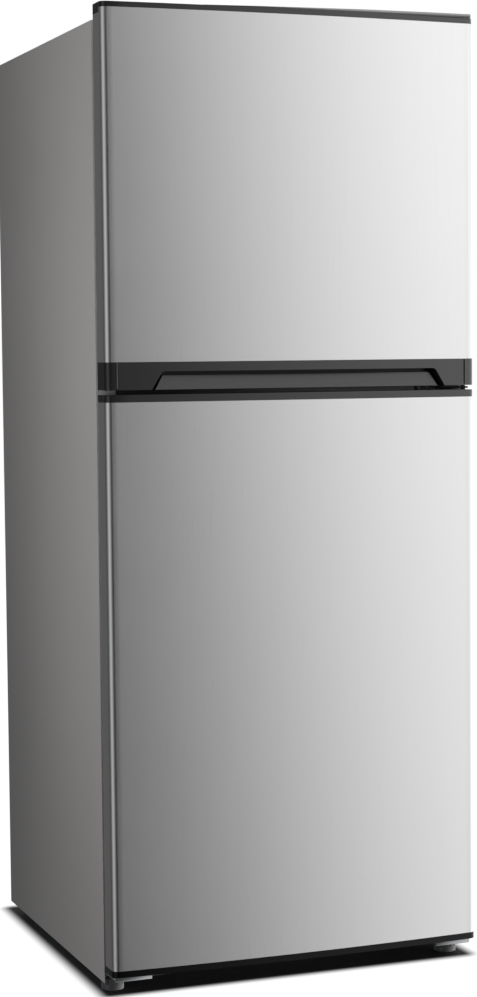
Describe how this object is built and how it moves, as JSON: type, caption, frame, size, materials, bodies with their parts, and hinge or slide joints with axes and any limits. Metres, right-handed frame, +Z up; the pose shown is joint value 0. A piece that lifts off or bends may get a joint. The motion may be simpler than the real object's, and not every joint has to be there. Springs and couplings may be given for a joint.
{
  "type": "top freezer refrigerator",
  "caption": "Upright refrigerator with a freezer above: brushed steel bowed doors with black end caps and finger grips, grey cabinet, glass shelves, crisper, rear condenser.",
  "frame": {"origin": "on the floor under the middle of the whole object", "axes": "+Z is up, the doors face -Y, and +X is to the right of someone facing the doors"},
  "size_m": [0.6, 0.626, 1.4788],
  "materials": {
    "cabinet_paint": "satin grey paint with a fine orange-peel texture",
    "galvanised": "galvanised sheet steel",
    "foam": "rigid foam",
    "liner_white": "white moulded plastic",
    "zinc": "bright zinc plating",
    "black_gloss": "glossy black moulding",
    "roller_plastic": "light grey plastic",
    "dark_plastic": "dark grey plastic",
    "black_enamel": "black enamel",
    "rubber_black": "black rubber",
    "copper": "copper tube, slightly tarnished",
    "aluminium": "bare aluminium",
    "white_plastic": "white plastic",
    "shelf_glass": "toughened glass with white edge trims",
    "lamp_lens": "frosted lens",
    "clear_plastic": "clear plastic with a faint blue tint",
    "door_steel": "stainless steel with a fine vertical brushing",
    "gasket": "grey magnetic gasket"
  },
  "bodies": {
    "cabinet": {"side_panel_left": "cabinet_paint", "side_panel_right": "cabinet_paint", "top_panel": "cabinet_paint", "back_panel": "galvanised", "base_pan": "galvanised", "mullion_trim": "black_enamel", "cabinet_foam": "foam", "freezer_liner": "liner_white", "fridge_liner": "liner_white", "top_hinge": "zinc", "middle_hinge": "black_enamel", "bottom_hinge": "zinc", "left_foot_bracket": "zinc", "hinge_screws": "zinc", "top_hinge_cover": "black_gloss", "rear_roller_brackets": "galvanised", "compressor": "black_enamel", "compressor_mounts": "rubber_black", "compressor_relay": "dark_plastic", "compressor_shelf": "galvanised", "condenser_tube": "black_enamel", "condenser_wires": "black_enamel", "condenser_brackets": "dark_plastic", "filter_drier": "copper", "refrigerant_lines": "copper", "drain_pan": "dark_plastic", "mains_inlet": "dark_plastic", "evaporator_fins": "aluminium", "evaporator_tube": "aluminium", "evaporator_cover": "liner_white", "fan_motor": "dark_plastic", "freezer_shelf": "shelf_glass", "ice_bin": "clear_plastic", "air_duct": "liner_white", "control_housing": "liner_white", "lamp_lens": "lamp_lens", "shelf_glass": "shelf_glass", "shelf_trims": "liner_white", "crisper_cover": "shelf_glass"},
    "freezer_door": {"freezer_door_skin": "door_steel", "freezer_door_top_cap": "black_gloss", "freezer_door_handle_trim": "black_gloss", "freezer_door_foam": "foam", "freezer_door_liner": "liner_white", "freezer_door_gasket": "gasket", "freezer_door_bins": "clear_plastic"},
    "fridge_door": {"fridge_door_skin": "door_steel", "fridge_door_caps": "black_gloss", "fridge_door_foam": "foam", "fridge_door_liner": "liner_white", "fridge_door_gasket": "gasket", "fridge_door_bins": "clear_plastic"},
    "rear_roller_left": {"rear_roller_left": "roller_plastic"},
    "rear_roller_right": {"rear_roller_right": "roller_plastic"},
    "levelling_foot_left": {"levelling_foot_left": "dark_plastic"},
    "levelling_foot_right": {"levelling_foot_right": "dark_plastic"},
    "evaporator_fan": {"evaporator_fan": "white_plastic"},
    "thermostat_knob": {"thermostat_knob": "white_plastic"},
    "light_switch_plunger": {"light_switch_plunger": "white_plastic"},
    "crisper_drawer": {"crisper_drawer": "clear_plastic"}
  },
  "joints": [
    {"name": "freezer_door_swing", "type": "hinge", "parent": "cabinet", "child": "freezer_door", "pos_m": [0.288, -0.287, 1.471], "axis": [0, 0, 1], "range_deg": [0, 120]},
    {"name": "fridge_door_swing", "type": "hinge", "parent": "cabinet", "child": "fridge_door", "pos_m": [0.288, -0.287, 0.034], "axis": [0, 0, 1], "range_deg": [0, 120]},
    {"name": "crisper_slide", "type": "slide", "parent": "cabinet", "child": "crisper_drawer", "axis": [0, -1, 0], "range_m": [0, 0.02]},
    {"name": "thermostat_turn", "type": "hinge", "parent": "cabinet", "child": "thermostat_knob", "pos_m": [0.06812, -0.1414, 0.8575], "axis": [0, -1, 0], "range_deg": [0, 270]},
    {"name": "fan_spin", "type": "hinge", "parent": "cabinet", "child": "evaporator_fan", "pos_m": [0, 0.183, 1.306], "axis": [0, 1, 0], "continuous": true},
    {"name": "rear_roller_left_spin", "type": "hinge", "parent": "cabinet", "child": "rear_roller_left", "pos_m": [-0.266, 0.243, 0.016], "axis": [1, 0, 0], "continuous": true},
    {"name": "rear_roller_right_spin", "type": "hinge", "parent": "cabinet", "child": "rear_roller_right", "pos_m": [0.266, 0.243, 0.016], "axis": [1, 0, 0], "continuous": true},
    {"name": "left_foot_level", "type": "slide", "parent": "cabinet", "child": "levelling_foot_left", "axis": [0, 0, -1], "range_m": [0, 0.01]},
    {"name": "right_foot_level", "type": "slide", "parent": "cabinet", "child": "levelling_foot_right", "axis": [0, 0, -1], "range_m": [0, 0.01]},
    {"name": "light_switch_push", "type": "slide", "parent": "cabinet", "child": "light_switch_plunger", "axis": [0, -1, 0], "range_m": [0, 0.006]}
  ],
  "couplings": [
    {"joint": "light_switch_push", "follows": "fridge_door_swing", "m_per_rad": 0.0028}
  ]
}
